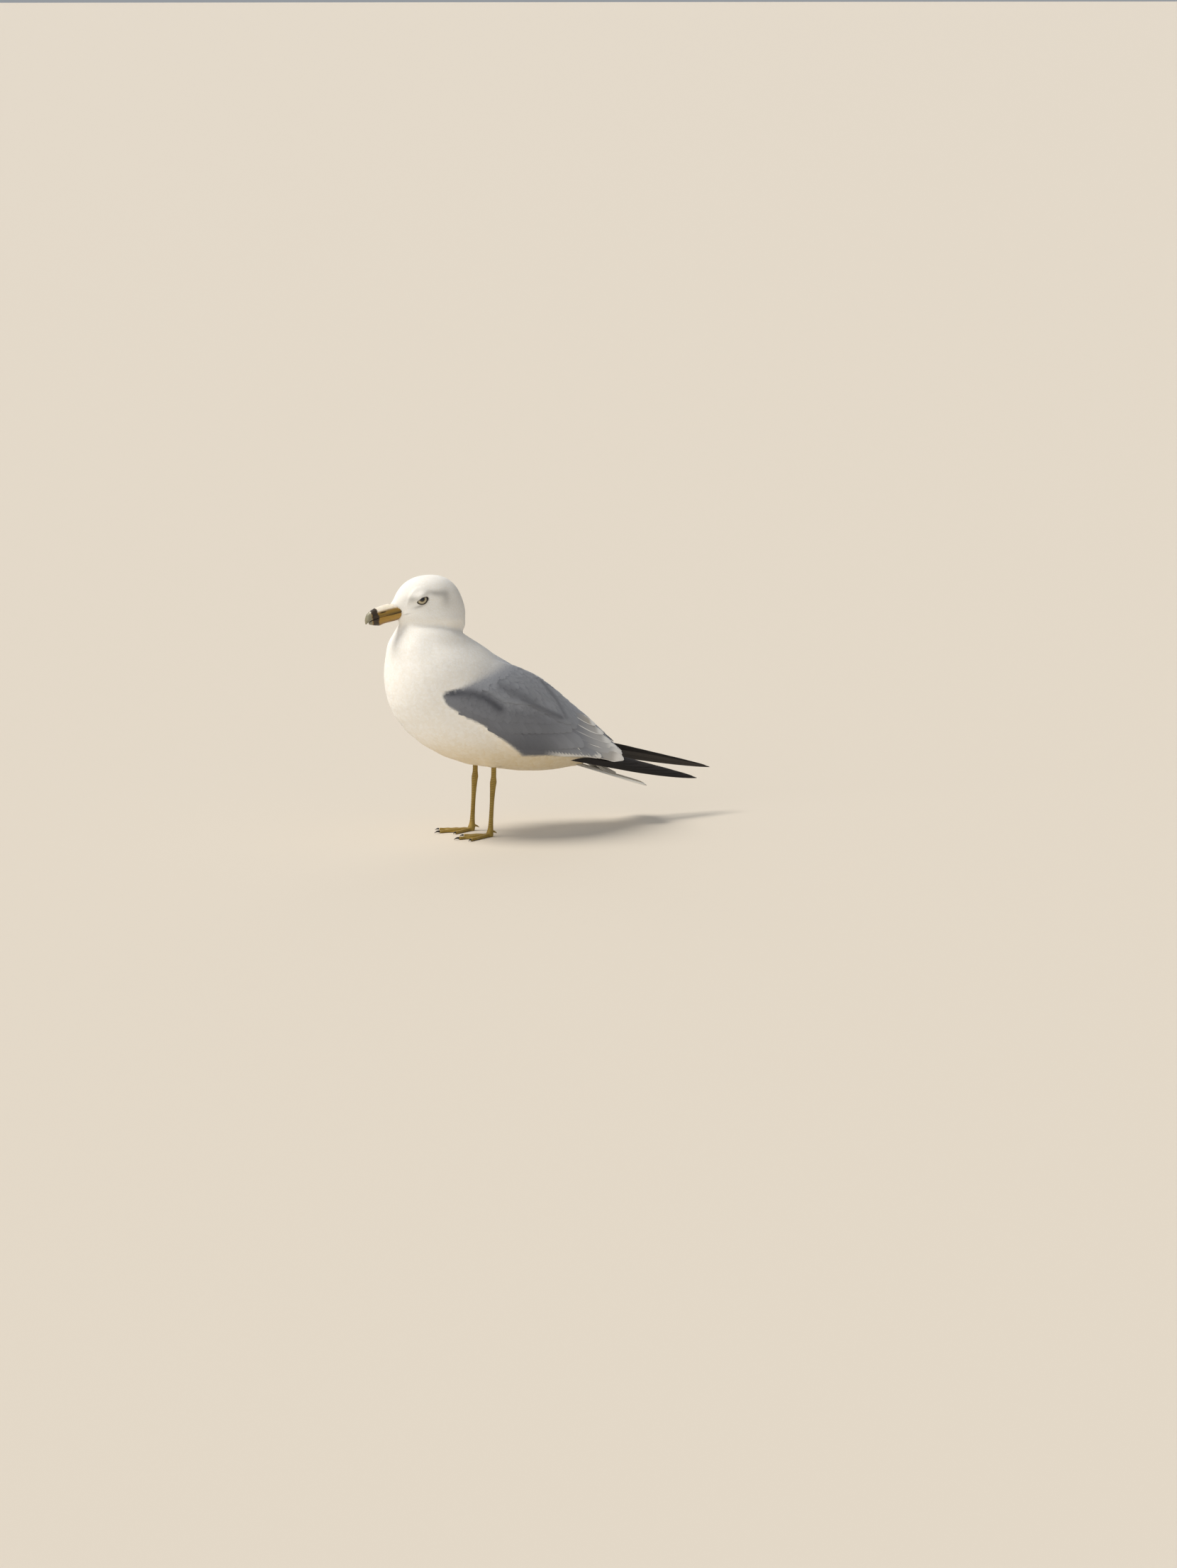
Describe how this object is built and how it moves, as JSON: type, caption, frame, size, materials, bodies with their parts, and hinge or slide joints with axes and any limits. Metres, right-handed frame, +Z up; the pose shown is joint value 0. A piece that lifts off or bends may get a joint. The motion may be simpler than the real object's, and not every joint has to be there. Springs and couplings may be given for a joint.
{
  "type": "ring-billed gull",
  "caption": "Life-size still model of a ring-billed gull standing on both webbed feet with its wings folded, white body, grey back and black wing tips.",
  "frame": {"origin": "on the floor, under the middle of the whole bird's box", "axes": "+Z up; the bird faces -X along its length, its left side faces -Y"},
  "size_m": [0.4298, 0.1194, 0.2884],
  "materials": {
    "white_feathers": "soft white feathers",
    "grey_feathers": "soft grey feathers",
    "black_feathers": "smooth brown-black feathers",
    "bill_horn": "satin yellow horn with a black ring",
    "eye": "wet, dark pupil in a pale iris",
    "leg_skin": "scaly olive-yellow skin",
    "claw_horn": "dark horn"
  },
  "bodies": {
    "root": {"bill_lower": "bill_horn", "bill_upper": "bill_horn", "claw_left_inner": "claw_horn", "claw_left_middle": "claw_horn", "claw_left_outer": "claw_horn", "claw_right_inner": "claw_horn", "claw_right_middle": "claw_horn", "claw_right_outer": "claw_horn", "eye_left": "eye", "eye_right": "eye", "foot_left": "leg_skin", "foot_right": "leg_skin", "head": "white_feathers", "neck": "white_feathers", "primaries_left": "black_feathers", "primaries_right": "black_feathers", "shank_left": "leg_skin", "shank_right": "leg_skin", "tail": "white_feathers", "thigh_left": "white_feathers", "thigh_right": "white_feathers", "trunk": "white_feathers", "wing_left": "grey_feathers", "wing_right": "grey_feathers"}
  },
  "joints": []
}
